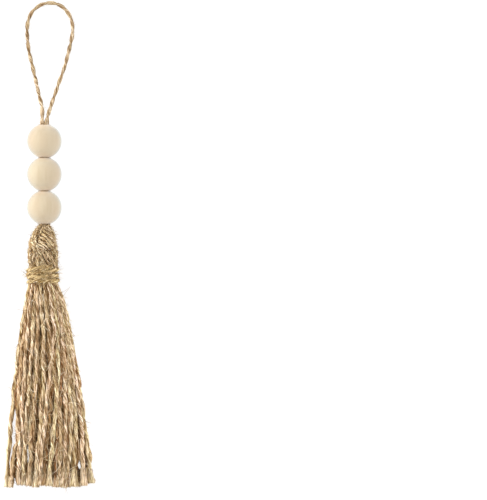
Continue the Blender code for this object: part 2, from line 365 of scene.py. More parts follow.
# The strands that lie uppermost, by their place across at each place down the skirt, with
# the half width of the frayed brush at the hem
LEAD_DOWNS = (20.0, 24.5, 31.0, 50.0, 70.0, 90.0, 110.0, 121.0)
LEAD_STRANDS = table(
    "across tone hue brush red",
    ((-5.6, -5.9, -7.7, -10.9, -13.4, -15.6, -17.1, -17.4), 0.80, 0.20, 1.6, 0.0),
    ((-5.2, -5.3, -6.9, -9.2, -11.3, -12.1, -14.8, -15.4), 0.55, 0.70, 1.2, 0.0),
    ((-4.5, -4.6, -6.0, -7.6, -9.2, -10.2, -11.9, -11.4), 0.90, 0.85, 1.6, 0.0),
    ((-3.7, -3.8, -4.0, -5.0, -6.5, -8.2, -9.6, -9.2), 0.92, 0.35, 1.3, 0.0),
    ((-2.9, -2.8, -2.8, -2.9, -3.4, -4.8, -7.0, -7.2), 0.48, 0.75, 1.7, 0.0),
    ((-1.9, -1.8, -1.4, -0.2, -0.1, -1.4, -3.5, -4.3), 0.88, 0.40, 1.8, 0.0),
    ((1.0, 1.3, 3.0, 4.8, 2.3, 0.2, -1.8, -2.9), 0.92, 0.85, 1.6, 0.0),
    ((1.5, 1.8, 3.7, 5.5, 4.3, 1.9, 0.4, -0.9), 0.30, 0.20, 1.5, 0.6),
    ((2.0, 2.3, 4.4, 6.2, 6.4, 4.7, 2.7, 1.9), 1.0, 0.25, 1.9, 0.0),
    ((2.4, 2.7, 4.9, 7.2, 8.0, 6.2, 5.3, 4.6), 0.30, 0.50, 1.4, 0.9),
    ((-0.6, -0.5, 0.6, 2.2, 4.6, 7.6, 7.4, 6.2), 0.60, 0.60, 1.7, 0.0),
    ((2.8, 3.1, 5.4, 8.2, 9.4, 9.7, 9.4, 7.0), 0.84, 0.85, 2.8, 0.0),
    ((3.0, 3.4, 5.8, 8.9, 10.2, 11.2, 10.9, 10.6), 0.30, 0.50, 1.3, 0.9),
    ((3.3, 3.6, 6.1, 9.6, 11.0, 12.4, 11.2, 8.0), 0.66, 0.50, 1.4, 0.0),
    ((3.7, 4.0, 6.5, 10.4, 12.6, 14.3, 13.4, 13.2), 0.78, 0.30, 2.6, 0.0),
    ((4.0, 4.2, 7.2, 11.1, 14.0, 16.7, 17.5, 18.0), 0.88, 0.90, 2.2, 0.0),
    ((4.1, 4.4, 7.7, 12.1, 15.7, 17.9, 20.2, 21.8), 0.84, 0.15, 1.8, 0.0),
)
LEAD_PALER = 0.38
LEAD_HEM_SPREAD = 0.2

# The other strands: a buried one is painted darker, a painted shade, and its brush is paler
# than itself, where that painted shade is eased
REST_TONES = (0.15, 0.95)
REST_BRUSHES = (1.4, 2.0)
REST_SHORTER = (0.0, 2.0)
REST_PALER = -0.08
BURIED_PAINTED_SHADE = 0.42
BURIED_BRUSH_SHADE_EASED = 0.3
BURIED_RUN = 6.0

# More of them are red round this place across
RED_ACROSS = 4.0
RED_REACH = 6.0

# Brushes: their length in half widths, how they open and flatten, and how full they are
# at shares of their length
Brush = namedtuple("Brush", "end width back paler")
BRUSH_RUN = 3.9
BRUSH_SIDES = 22
BRUSH_STATIONS = 8
BRUSH_OPENING = 1.5
BRUSH_FLATTER = 0.25
BRUSH_FULL = ((0.0, 0.2, 0.8, 1.0), (0.4, 0.62, 0.9, 0.88))
BRUSH_LOWEST = 0.15
BRUSH_HAIRS = 52
BRUSH_HAIR_STATIONS = 5

# Places where the floor shows between the strands
SKIRT_GAPS = table(
    "across start end half_width",
    (-13.7, 84.0, 101.0, 0.55),
    (-7.6, 100.0, 109.0, 0.45),
    (15.7, 108.0, 118.0, 0.5),
)
HemNotch = namedtuple("HemNotch", "across start run half_width")
HEM_NOTCH = HemNotch(-13.5, 117.0, 2.0, 0.9)

# Hem, as places across and then down, shorter at a notch and at the right corner
HEM = (
    (-20.0, -15.2, -14.4, -12.5, -9.0, -7.5, 4.0, 12.0, 17.5, 20.5, 23.0),
    (120.1, 120.2, 118.8, 118.6, 119.0, 119.8, 119.6, 120.1, 119.8, 119.0, 117.7),
)


class Pile:
    """Points, faces and the marks that the materials read, gathered for one mesh."""

    def __init__(self):
        self.points = []
        self.fibres = []
        self.tones = []
        self.quads = []
        self.caps = []
        self.count = 0

    def add_tubes(self, rings, fibres, tones):
        """Closed tubes from rings of points: arrays of tube, station, side and xyz."""
        tubes, stations, sides, _ = rings.shape
        index = np.arange(tubes * stations * sides).reshape(tubes, stations, sides)
        index = index + self.count
        ahead = np.roll(index, -1, axis=2)
        quads = np.stack((index[:, :-1], ahead[:, :-1], ahead[:, 1:], index[:, 1:]), axis=-1)
        self.quads.append(quads.reshape(-1, 4))
        self.caps.append(np.concatenate((index[:, 0, ::-1], index[:, -1, :])))
        self.points.append(rings.reshape(-1, 3))
        self.fibres.append(np.broadcast_to(fibres, rings.shape).reshape(-1, 3))
        self.tones.append(np.broadcast_to(tones, rings.shape).reshape(-1, 3))
        self.count += tubes * stations * sides

    def build(self, name, material, slot, *nodes):
        """The mesh object, riding on the tassel and standing for the nodes named."""
        faces = [self.quads, *([cap] for cap in self.caps)]
        mesh = bpy.data.meshes.new(name)
        mesh.vertices.add(self.count)
        mesh.vertices.foreach_set("co", np.concatenate(self.points).ravel() * MM)
        groups = [np.concatenate(group) for group in faces]
        sizes = np.concatenate([np.full(len(g), g.shape[1]) for g in groups])
        corners = np.concatenate([g.ravel() for g in groups])
        mesh.loops.add(len(corners))
        mesh.loops.foreach_set("vertex_index", corners.astype(np.int32))
        mesh.polygons.add(len(sizes))
        starts = np.concatenate(([0], np.cumsum(sizes)[:-1]))
        mesh.polygons.foreach_set("loop_start", starts.astype(np.int32))
        for label, marks in (("fibre", self.fibres), ("tone", self.tones)):
            layer = mesh.attributes.new(label, "FLOAT_VECTOR", "POINT")
            layer.data.foreach_set("vector", np.concatenate(marks).ravel())
        mesh.update(calc_edges=True)
        mesh.validate()
        mesh.shade_smooth()
        mesh.materials.append(material)
        made = add_object(name, mesh)
        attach(made, "root")
        if nodes:
            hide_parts(*nodes)
        return made


def add_object(name, data):
    made = bpy.data.objects.new(name, data)
    bpy.context.collection.objects.link(made)
    return made


def place(across, down, height):
    """Millimetres in the frame, from across, down and height."""
    x = AXIS_X / MM + np.asarray(across)
    y = HEAD_TOP_Y / MM - np.asarray(down)
    z = np.asarray(height) + np.zeros_like(x + y)
    return np.stack(np.broadcast_arrays(x, y, z), axis=-1)


def column(rows, name):
    """One column of a table."""
    return np.array([getattr(row, name) for row in rows])


def unit(vectors):
    return vectors / np.linalg.norm(vectors, axis=-1, keepdims=True)


def rise(values, start, run):
    """From 0 at the start to 1 at the end of the run, which is negative for a fall."""
    return np.clip((values - start) / run, 0.0, 1.0)


def wave(rng, along, shortest, longest, size=None):
    """A sine wave of random length and start, or one wave for each row of a size."""
    return np.sin(TURN * along / rng.uniform(shortest, longest, size) + rng.uniform(0, TURN, size))


def section_at(sections, down):
    """The columns of a table after the first, read off at places down."""
    downs = column(sections, "down")
    return [np.interp(down, downs, column(sections, name)) for name in sections[0]._fields[1:]]


def arc_lengths(path):
    steps = np.linalg.norm(np.diff(path, axis=0), axis=1)
    return np.concatenate(([0.0], np.cumsum(steps)))


def smooth_path(points, step):
    """Points an even step apart along a Catmull-Rom curve through the route."""
    points = np.asarray(points, float)
    ends = np.vstack((2 * points[0] - points[1], points, 2 * points[-1] - points[-2]))
    t = np.linspace(0.0, 1.0, CURVE_STEPS + 1)[1:, None]
    fine = [points[:1]]
    for before, start, end, after in zip(ends, ends[1:], ends[2:], ends[3:]):
        fine.append(
            0.5 * (2 * start + (end - before) * t)
            + 0.5 * (2 * before - 5 * start + 4 * end - after) * t**2
            + 0.5 * (3 * start - before - 3 * end + after) * t**3
        )
    fine = np.concatenate(fine)
    lengths = arc_lengths(fine)
    wanted = np.linspace(0.0, lengths[-1], max(2, round(lengths[-1] / step)) + 1)
    return np.stack([np.interp(wanted, lengths, fine[:, i]) for i in range(3)], axis=-1)


def frame_along(path, reference):
    """Unit vectors along a path, to its side, and square to both."""
    along = unit(np.gradient(path, axis=0))
    side = unit(np.cross(along, reference))
    return along, side, np.cross(side, along)


def spokes_round(side, upward, sides):
    """Unit vectors from a path to the sides of a tube round it."""
    around = TURN * np.arange(sides) / sides
    sideways = np.cos(around)[:, None] * side[..., None, :]
    return sideways + np.sin(around)[:, None] * upward[..., None, :]


def shifted_pattern(rng, *parts):
    """Where points lie in the fibres' pattern, with each part shifted at random."""
    return np.stack([part + rng.uniform(0, PATTERN_SHIFT) for part in parts], axis=-1)


def ply_reach(rng, length, ply_radius, around):
    """The radius of a lumpy ply, by station and side."""
    lumps = 1.0 + PLY_LUMPS[0] * np.sin(
        2 * around[None, :] + TURN * length[:, None] / rng.uniform(7, 12) + rng.uniform(0, TURN)
    ) + PLY_LUMPS[1] * np.sin(
        3 * around[None, :] - TURN * length[:, None] / rng.uniform(4, 7) + rng.uniform(0, TURN)
    )
    swell = 1.0 + PLY_SWELL * wave(rng, length, 8, 15)
    return (ply_radius * swell)[:, None] * lumps


def lay_plies(pile, rng, path, radius, yarn, look, reference=UP):
    """A strand of two plies, twisted as the middle stroke of an S, along a path."""
    length = arc_lengths(path)
    _, side, upward = frame_along(path, reference)
    radius = np.broadcast_to(radius, length.shape)
    ply_radius = yarn.full * radius
    offset = (radius - ply_radius)[:, None]
    phase = rng.uniform(0, TURN)
    drift = yarn.loose * wave(rng, length, 19, 33)
    turned = phase + TURN * length / yarn.twist + drift
    around = TURN * np.arange(yarn.sides) / yarn.sides
    spokes = spokes_round(side, upward, yarn.sides)
    for ply in range(2):
        angle = turned + math.pi * ply
        outward = np.cos(angle)[:, None] * side + np.sin(angle)[:, None] * upward
        reach = ply_reach(rng, length, ply_radius, around)
        rings = (path + offset * outward)[:, None] + reach[..., None] * spokes
        rings[..., 2] = np.maximum(rings[..., 2], FLOOR_CLEARANCE)
        laid = around[None, :] - PLY_LAY * turned[:, None]
        along = length[:, None] + np.zeros_like(laid)
        fibres = shifted_pattern(rng, reach * np.cos(laid), reach * np.sin(laid), along)
        paler = wave(rng, length, 15, 40)
        pinker = wave(rng, length, 15, 40)
        tone = look.tone + rng.normal(0.0, PLY_TONE_SPREAD) + look.uneven * paler
        hue = look.hue + rng.normal(0.0, PLY_HUE_SPREAD) + 1.5 * look.uneven * pinker
        # The side of a ply that faces the other ply is darkened, a painted shade in the seam
        seam = rise(-np.cos(around[None, :] - angle[:, None]), SEAM_SHADE_START, SEAM_SHADE_RUN)
        tones = np.empty(laid.shape + (3,))
        tones[..., 0] = np.clip(tone[:, None] - yarn.groove * seam, 0, 1)
        tones[..., 1] = np.clip(hue, 0, 1)[:, None]
        tones[..., 2] = look.red
        pile.add_tubes(rings[None], fibres[None], tones[None])


def lay_hairs(pile, rng, paths, radius, tones):
    """Thin fibres, each tapering to its tip: paths of hair, station and xyz."""
    hairs, stations, _ = paths.shape
    along = unit(np.gradient(paths, axis=1))
    any_way = unit(rng.normal(size=(hairs, 1, 3)))
    side = unit(np.cross(along, any_way))
    upward = np.cross(side, along)
    taper = np.linspace(1.0, HAIR_TIP, stations)[None, :, None, None]
    spokes = spokes_round(side, upward, HAIR_SIDES)
    rings = paths[:, :, None] + radius[:, None, None, None] * taper * spokes
    rings[..., 2] = np.maximum(rings[..., 2], FLOOR_CLEARANCE)
    fibres = np.broadcast_to(rng.uniform(0, PATTERN_SHIFT, (hairs, 1, 1, 3)), rings.shape)
    marks = np.zeros((hairs, 1, 1, 3))
    marks[:, 0, 0, 0] = tones
    marks[:, 0, 0, 1] = rng.uniform(size=hairs)
    pile.add_tubes(rings, fibres, marks)


def curling_paths(rng, starts, directions, lengths, kind):
    """Paths that set out from points, bend at random as they go, and sag."""
    hairs = len(starts)
    steps = kind.stations - 1
    heading = unit(directions)
    bend = rng.normal(size=(hairs, 3)) * kind.curl
    paths = np.empty((hairs, kind.stations, 3))
    paths[:, 0] = starts
    for k in range(1, kind.stations):
        heading = unit(heading + bend / steps)
        heading[:, 2] -= kind.sag / steps
        bend += rng.normal(size=(hairs, 3)) * kind.curl * 0.5
        paths[:, k] = paths[:, k - 1] + heading * (lengths[:, None] / steps)
    return paths


def fuzz_on(pile, rng, path, radius, amount, kind=FUZZ, tones=FUZZ_TONES):
    """Short loose fibres that stand off a strand, most of them along it."""
    count = amount.count
    length = arc_lengths(path)
    at = rng.uniform(0.0, length[-1], count)
    along, side, upward = frame_along(path, UP + 0.001 * ALONG)
    here, along, side, upward = (
        np.stack([np.interp(at, length, values[:, i]) for i in range(3)], axis=-1)
        for values in (path, along, side, upward)
    )
    reach = np.interp(at, length, np.broadcast_to(radius, length.shape))
    angle = rng.uniform(0, TURN, count)[:, None]
    outward = np.cos(angle) * side + np.sin(angle) * upward
    starts = here + 0.8 * reach[:, None] * outward
    heading = along * rng.choice((-1.0, 1.0), count, p=(0.3, 0.7))[:, None]
    heading = heading + outward * rng.uniform(0.15, 0.9, count)[:, None]
    lengths = rng.uniform(0.3, 1.0, count) ** 2 * amount.longest + 0.8
    paths = curling_paths(rng, starts, heading, lengths, kind)
    lay_hairs(pile, rng, paths, rng.uniform(*kind.radii, count), rng.uniform(*tones, count))


def flyaway_hairs(pile, rng, path, radius, count):
    """A few long pale fibres that curl over the strands."""
    pick = rng.integers(2, len(path) - 2, count)
    angle = rng.uniform(0.2, 0.8, count)[:, None] * math.pi
    outward = np.cos(angle) * RIGHT + np.sin(angle) * UP
    starts = path[pick] + radius[pick][:, None] * outward
    heading = rng.normal(size=(count, 3)) * np.array((0.9, 1.0, 0.15)) + 0.35 * outward
    lengths = rng.uniform(3.0, 9.0, count)
    paths = curling_paths(rng, starts, heading, lengths, FLYAWAY)
    radii = rng.uniform(*FLYAWAY.radii, count)
    lay_hairs(pile, rng, paths, radii, rng.uniform(*FLYAWAY_TONES, count))


def loose_slivers(pile, rng, path, radius, amount, spread=SLIVER_SPREAD, tones=SLIVER_TONES):
    """Slivers of fibre that lift off a strand and lie across the seams beside it."""
    count = amount.count
    pick = rng.integers(2, len(path) - 2, count)
    along = unit(np.gradient(path, axis=0))[pick]
    sideways = unit(np.cross(along, UP))
    angle = rng.uniform(0.3, 0.7, count)[:, None] * math.pi
    outward = np.cos(angle) * sideways + np.sin(angle) * UP
    starts = path[pick] + 0.9 * np.broadcast_to(radius, len(path))[pick][:, None] * outward
    heading = along + rng.normal(0.0, spread, (count, 1)) * sideways + 0.12 * UP
    lengths = rng.uniform(0.35, 1.0, count) * amount.longest
    paths = curling_paths(rng, starts, heading, lengths, SLIVER)
    is_dark = rng.uniform(size=count) < DARK_SLIVERS
    tones = np.where(is_dark, *tones) + rng.uniform(-0.15, 0.15, count)
    lay_hairs(pile, rng, paths, rng.uniform(*SLIVER.radii, count), tones)


# Materials


def new_material(name, values):
    """A material, its node tree and its shader, whose constant values are given by name."""
    made = bpy.data.materials.new(name)
    made.use_nodes = True
    shader = made.node_tree.nodes["Principled BSDF"]
    for key, value in values.items():
        shader.inputs[key].default_value = value
    return made, made.node_tree, shader


def add_node(tree, kind, **values):
    made = tree.nodes.new(kind)
    for key, value in values.items():
        if hasattr(made, key):
            setattr(made, key, value)
        else:
            made.inputs[key].default_value = value
    return made


def ramp(tree, stops, source):
    """A colour ramp fed by a socket, from places and linear colours or one grey."""
    made = tree.nodes.new("ShaderNodeValToRGB")
    elements = made.color_ramp.elements
    while len(elements) < len(stops):
        elements.new(0.5)
    for element, (position, colour) in zip(elements, stops):
        element.position = position
        element.color = (*colour, 1.0) if len(colour) == 3 else (colour[0],) * 3 + (1.0,)
    tree.links.new(source, made.inputs["Fac"])
    return made.outputs["Color"]


def mix(tree, blend, share, first, second):
    """Two colours mixed, where each is a socket or a colour."""
    made = tree.nodes.new("ShaderNodeMix")
    made.data_type = "RGBA"
    made.blend_type = blend
    for key, value in ((0, share), (6, first), (7, second)):
        if isinstance(value, bpy.types.NodeSocket):
            tree.links.new(value, made.inputs[key])
        else:
            made.inputs[key].default_value = value
    return made.outputs[2]


def stretched_noise(tree, vector, stretch, scale, detail):
    mapping = add_node(tree, "ShaderNodeMapping", Scale=stretch)
    tree.links.new(vector, mapping.inputs["Vector"])
    noise = add_node(tree, "ShaderNodeTexNoise", Scale=scale, Detail=detail)
    tree.links.new(mapping.outputs["Vector"], noise.inputs["Vector"])
    return noise.outputs["Fac"]


def add_relief(tree, shader, height, strength, depth):
    relief = add_node(tree, "ShaderNodeBump", Strength=strength, Distance=depth)
    tree.links.new(height, relief.inputs["Height"])
    tree.links.new(relief.outputs["Normal"], shader.inputs["Normal"])


def split(tree, vector):
    """The sockets of a vector's three parts."""
    parts = tree.nodes.new("ShaderNodeSeparateXYZ")
    tree.links.new(vector, parts.inputs["Vector"])
    return parts.outputs


def jute_material(name, colours):
    """Fibres drawn out along each ply, with strands and plies of uneven tone."""
    made, tree, shader = new_material(name, JUTE_FINISH)
    fibre = add_node(tree, "ShaderNodeAttribute", attribute_name="fibre").outputs["Vector"]
    tone = add_node(tree, "ShaderNodeAttribute", attribute_name="tone").outputs["Vector"]
    parts = split(tree, tone)
    patches = stretched_noise(tree, fibre, (1.0, 1.0, 0.25), 0.55, 1.0)
    coarse = stretched_noise(tree, fibre, (1.0, 1.0, 0.11), 1.9, 1.5)
    fine = stretched_noise(tree, fibre, (1.0, 1.0, 0.15), 3.0, 3.5)
    colour = ramp(tree, tuple(zip((0.39, 0.49, 0.61), colours)), coarse)
    streaks = ramp(
        tree, ((0.38, (0.36, 0.27, 0.17)), (0.50, (1.0,)), (0.66, (1.16, 1.17, 1.20))), fine
    )
    colour = mix(tree, "MULTIPLY", 0.9, colour, streaks)
    clouds = ramp(tree, ((0.36, (0.80, 0.75, 0.63)), (0.62, (1.13, 1.12, 1.13))), patches)
    colour = mix(tree, "MULTIPLY", 1.0, colour, clouds)
    # The tone mark holds each strand's own tone, darkened by painted shade in ply seams, on buried
    # strands and on the head's core
    by_strand = ramp(
        tree,
        (
            (0.0, (0.40, 0.285, 0.16)),
            (0.35, (0.76, 0.68, 0.56)),
            (0.65, (1.04, 1.03, 0.98)),
            (0.85, (1.23, 1.28, 1.35)),
            (1.0, (1.33, 1.42, 1.53)),
        ),
        parts["X"],
    )
    colour = mix(tree, "MULTIPLY", 1.0, colour, by_strand)
    by_hue = ramp(
        tree,
        ((0.0, (0.98, 1.0, 0.85)), (0.5, (1.0, 0.99, 0.96)), (1.0, (1.07, 1.0, 1.01))),
        parts["Y"],
    )
    colour = mix(tree, "MULTIPLY", 1.0, colour, by_hue)
    # Redder by the red mark: some strands are redder, and buried strands and the head's core are
    # reddened as painted shade
    reddened = mix(tree, "MULTIPLY", 1.0, colour, (0.98, 0.77, 0.64, 1.0))
    colour = mix(tree, "MIX", parts["Z"], colour, reddened)
    tree.links.new(colour, shader.inputs["Base Color"])
    add_relief(tree, shader, fine, 1.0, JUTE_RELIEF)
    return made


def wood_material():
    """Pale unvarnished wood with a faint grain. Towards its ends it is lighter and warmer, a
    painted warm bounce light, and at the flat ends round the bore it is browner, partly end
    grain and partly painted shade.

    It reads a bead's grain mark, the place of each point from the bead's middle."""
    made, tree, shader = new_material("pale_wood", WOOD_FINISH)
    inside = add_node(tree, "ShaderNodeAttribute", attribute_name="grain").outputs["Vector"]
    grain = stretched_noise(tree, inside, (1.0, 0.12, 1.0), 420.0, 4.0)
    rings = stretched_noise(tree, inside, (1.0, 0.18, 1.0), 130.0, 2.0)
    colour = ramp(
        tree,
        ((0.34, (0.455, 0.355, 0.24)), (0.50, (0.462, 0.372, 0.255)), (0.66, (0.475, 0.395, 0.275))),
        rings,
    )
    pores = ramp(tree, ((0.30, (0.93, 0.91, 0.87)), (0.50, (1.0,)), (1.0, (1.02,))), grain)
    colour = mix(tree, "MULTIPLY", 0.8, colour, pores)
    off_middle = add_node(tree, "ShaderNodeMath", operation="ABSOLUTE")
    tree.links.new(split(tree, inside)["Y"], off_middle.inputs[0])
    share = add_node(tree, "ShaderNodeMath", operation="DIVIDE")
    tree.links.new(off_middle.outputs[0], share.inputs[0])
    share.inputs[1].default_value = (BEAD_HIGH[1] - BEAD_LOW[1]) / 2
    # Lighter and warmer towards the ends, a painted bounce light; browner on the flat ends, partly end
    # grain and partly painted shade
    end_grain_and_painted_light = ramp(
        tree,
        (
            (0.70, (1.0,)),
            (0.93, (1.15, 1.05, 0.93)),
            (0.985, (1.1, 0.95, 0.78)),
            (1.0, (0.60, 0.47, 0.36)),
        ),
        share.outputs[0],
    )
    colour = mix(tree, "MULTIPLY", 1.0, colour, end_grain_and_painted_light)
    tree.links.new(colour, shader.inputs["Base Color"])
    add_relief(tree, shader, grain, 0.25, WOOD_RELIEF)
    return made


# Pieces


def bead_outline():
    """The outline of a bead cut through its axis: radius and place along it, in metres."""
    half = (BEAD_HIGH[1] - BEAD_LOW[1]) / 2 + BEAD_GROWTH
    end_angle = math.acos((RING_RADIUS + BEAD_EDGE) / BEAD_RADIUS)
    end = [(BORE_RADIUS, half - BEAD_EDGE), (BORE_RADIUS + BEAD_EDGE, half), (RING_RADIUS, half)]
    angles = [end_angle * (2 * k / BEAD_ARC_STEPS - 1) for k in range(BEAD_ARC_STEPS + 1)]
    arc = [(BEAD_RADIUS * math.cos(angle), BEAD_RADIUS * math.sin(angle)) for angle in angles]
    return np.array([(radius, -along) for radius, along in end] + arc + end[::-1])


def build_bead(node, material, grain_turn):
    """A turned bead, whose grain mark is turned so that each bead shows other grain."""
    low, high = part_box(node)
    centre = [(a + b) / 2 for a, b in zip(low, high)]
    outline = bead_outline()
    angles = TURN * np.arange(BEAD_SIDES) / BEAD_SIDES - math.pi / 2
    radius, along = outline.T
    x, y, z = radius * np.cos(angles)[:, None], along[None, :], radius * np.sin(angles)[:, None]
    points = np.stack(np.broadcast_arrays(x, y, z), axis=-1)
    index = np.arange(points.shape[0] * points.shape[1]).reshape(points.shape[:2])
    right, ahead = np.roll(index, -1, axis=0), np.roll(index, -1, axis=1)
    across = np.roll(right, -1, axis=1)
    faces = np.stack((index, right, across, ahead), axis=-1).reshape(-1, 4)
    mesh = bpy.data.meshes.new(f"{node}_wood")
    mesh.from_pydata(points.reshape(-1, 3).tolist(), [], faces[:, ::-1].tolist())
    mesh.validate()
    mesh.shade_smooth()
    mesh.set_sharp_from_angle(angle=BEAD_SHARP_ANGLE)
    mesh.materials.append(material)
    turned = points.reshape(-1, 3) @ np.array(Matrix.Rotation(grain_turn, 3, "Y"))
    layer = mesh.attributes.new("grain", "FLOAT_VECTOR", "POINT")
    layer.data.foreach_set("vector", turned.ravel())
    made = add_object(mesh.name, mesh)
    made.location = centre
    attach(made, "root")
    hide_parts(node)


def loop_path():
    """Up the left leg through the beads, round the loop, and down the right leg."""
    end = (HEAD_TOP_Y - BEADS_END_Y) / MM
    legs = np.linspace(end + LEG_CLEARANCE, 0.0, LEG_POINTS)
    left = [(-LEG_OFFSET, beyond, BORE_Z / MM) for beyond in legs]
    right = [(LEG_OFFSET, beyond, BORE_Z / MM) for beyond in legs[::-1]]
    loop = [(p.across, p.beyond, p.height) for p in LOOP_POINTS]
    route = np.array(left + loop + right)
    route[:, 0] += AXIS_X / MM
    route[:, 1] += BEADS_END_Y / MM
    return smooth_path(route, LOOP_STEP)


def build_loop(material):
    """The cord as twisted yarn, with short hairs on the stretch above the beads."""
    rng = np.random.default_rng(11)
    path = loop_path()
    pile = Pile()
    beyond = path[:, 1] - BEADS_END_Y / MM
    swell = 1.0 + LEG_SWELL * (1.0 - rise(beyond, 0.0, LEG_SWELL_RUN))
    lay_plies(pile, rng, path, CORD_RADIUS * CORD_LOFT * swell, CORD_YARN, CORD_LOOK)
    made = pile.build("loop_cord_yarn", material, "cord_jute", "loop_cord")
    hairs = Pile()
    shown = path[path[:, 1] > BEADS_END_Y / MM + CORD_FUZZ_START]
    fuzz_on(hairs, rng, shown, CORD_RADIUS, CORD_FUZZ, FINE_FUZZ)
    hairs.build("loop_cord_hairs", material, "cord_jute")


def head_ring(down, angle, inset):
    """Across and height of points inside the head's surface, at an angle round it."""
    across, half_width, middle, half_height = section_at(HEAD_SECTIONS, down)
    x = across + (half_width - inset) * np.cos(angle)
    z = middle + (half_height - inset) * np.sin(angle)
    return x, z


def on_head(across, down, radius):
    """The middle of a strand of a radius that lies on the front of the head."""
    centre, half_width, middle, half_height = section_at(HEAD_SECTIONS, down)
    side = np.clip((across - centre) / (half_width - radius), -0.97, 0.97)
    height = middle + (half_height - radius) * math.sqrt(1 - side**2)
    return place(centre + side * (half_width - radius), down, height)


def build_head_core(material):
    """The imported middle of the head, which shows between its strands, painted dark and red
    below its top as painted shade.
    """
    downs = np.linspace(HEAD_START, CORE_END, CORE_STATIONS)
    angle = TURN * np.arange(CORE_SIDES) / CORE_SIDES
    inset = np.interp(downs, *CORE_DEPTHS)[:, None]
    x, z = head_ring(downs[:, None], angle[None, :], inset)
    rings = place(x, downs[:, None], np.maximum(z, CORE_LOWEST))
    fibres = rings * np.array((1.0, 0.3, 1.0))
    tones = np.empty((len(downs), 1, 3))
    # Tone and redness of the painted shade, by the place down the head
    tones[:, 0, 0] = np.interp(downs, *CORE_SHADE_TONES)
    tones[:, 0, 1:] = (CORE_HUE, CORE_SHADE_RED)
    pile = Pile()
    pile.add_tubes(rings[None], fibres[None], tones[None])
    pile.build("head_core", material, "jute", "tassel")


def head_strand(rng, order):
    """The path of a strand folded over the head's top, its radius, and whether it is in front."""
    share = np.linspace(0.0, 1.0, HEAD_STATIONS)
    down = HEAD_START + (HEAD_FOOT - HEAD_START) * share
    deep = (order % 2) * 0.7 * (1 - rise(share, 0.0, 0.35)) + rng.uniform(-0.25, 0.45)
    radius = 0.45 + 0.38 * rise(share, 0.0, 0.3) - 0.12 * rise(share, 0.82, 0.18)
    radius = radius * rng.uniform(0.88, 1.15)
    start = TURN * (order + rng.uniform(-0.3, 0.3)) / HEAD_STRANDS
    sway = 0.13 * np.sin(TURN * share * rng.uniform(0.7, 1.5) + rng.uniform(0, TURN))
    angle = start - HEAD_SLANT * rng.uniform(0.85, 1.12) * share + sway
    deep = deep + HEAD_SINK * np.clip(np.sin(angle), 0, 1) * rise(share, 0.0, 0.1)
    x, z = head_ring(down, angle, radius + deep)
    path = smooth_path(place(x, down, np.maximum(z, radius)), HEAD_STEP)
    reach = np.interp(np.linspace(0, 1, len(path)), share, radius)
    return path, reach, np.sin(angle[HEAD_STATIONS // 2]) > 0.2


def build_head(material):
    """Strands folded over at the top of the head, which wind down to the binding."""
    rng = np.random.default_rng(23)
    pile = Pile()
    hairs = Pile()
    for order in range(HEAD_STRANDS):
        path, reach, in_front = head_strand(rng, order)
        yarn = Yarn(rng.uniform(*HEAD_TWISTS), 0.58, 0.3, 10)
        tone = rng.uniform(*(HEAD_FRONT_TONES if in_front else HEAD_BACK_TONES))
        lay_plies(pile, rng, path, reach, yarn, Look(tone, rng.uniform(0.0, 0.6), 0.0))
        fuzz_on(hairs, rng, path, reach, HEAD_FUZZ, tones=HEAD_FUZZ_TONES)
    for strand in HEAD_FRONT:
        radius = strand.radius
        route = np.array([on_head(across, down, radius) for across, down in strand.route])
        path = smooth_path(route, HEAD_STEP)
        tucked = 1 - rise(arc_lengths(path), 0.0, HEAD_TUCK)
        path[:, 2] -= 0.7 * radius * tucked
        yarn = Yarn(rng.uniform(*HEAD_TWISTS), 0.68, 0.4, 10)
        lay_plies(pile, rng, path, radius, yarn, Look(strand.tone, strand.hue, 0.0, 0.1))
        fuzz_on(hairs, rng, path, radius, HEAD_FRONT_FUZZ, tones=HEAD_FUZZ_TONES)
        loose_slivers(hairs, rng, path, radius, HEAD_SLIVERS)
    pile.build("head_strands", material, "jute")
    hairs.build("head_hairs", material, "jute")


def binding_path():
    """Uneven turns round the waist, which lean and crowd."""
    turned = np.linspace(0.0, BINDING_TURNS, BINDING_STATIONS)
    angle = TURN * turned + 0.9
    down = BINDING_DOWN + (turned - BINDING_TURNS / 2) * BINDING_PITCH
    down = down - np.interp(turned, *BINDING_LEANS) * np.cos(angle)
    down = down + 0.12 * np.sin(1.7 * angle + 0.8)
    reach = BINDING_RADIUS + 0.22 * np.sin(1.3 * angle + 2.0)
    x = BINDING_ACROSS + reach * np.cos(angle)
    z = BINDING_MIDDLE + reach * np.sin(angle)
    return smooth_path(place(x, down, np.maximum(z, BINDING_TWINE)), BINDING_STEP)


def build_binding(material):
    """Twine wound round the waist, hairy all over and matted at the front's right."""
    rng = np.random.default_rng(5)
    path = binding_path()
    pile = Pile()
    lay_plies(pile, rng, path, BINDING_TWINE, BINDING_YARN, BINDING_LOOK, ALONG)
    pile.build("binding_twine", material, "binding_jute", "binding")
    hairs = Pile()
    fuzz_on(hairs, rng, path, BINDING_TWINE, BINDING_FUZZ)
    in_front = path[:, 2] > BINDING_FRONT
    for shown in np.split(path, np.flatnonzero(np.diff(in_front)) + 1):
        if shown[0, 2] > BINDING_FRONT and len(shown) > 6:
            loose_slivers(hairs, rng, shown, BINDING_TWINE, BINDING_SLIVERS)
            right = shown[shown[:, 0] > AXIS_X / MM + BINDING_MATTED]
            if len(right) > 4:
                loose_slivers(
                    hairs, rng, right, BINDING_TWINE, BINDING_MAT, BINDING_MAT_SPREAD, BINDING_MAT_TONES
                )
    hairs.build("binding_hairs", material, "binding_jute")


def smoothed(rows):
    """Rows of values, each averaged over the stations near it."""
    weights = np.exp(-0.5 * (np.arange(-4, 5) / 2.0) ** 2)
    weights /= weights.sum()
    padded = np.pad(rows, ((0, 0), (4, 4)), mode="edge")
    return np.array([np.convolve(row, weights, mode="valid") for row in padded])


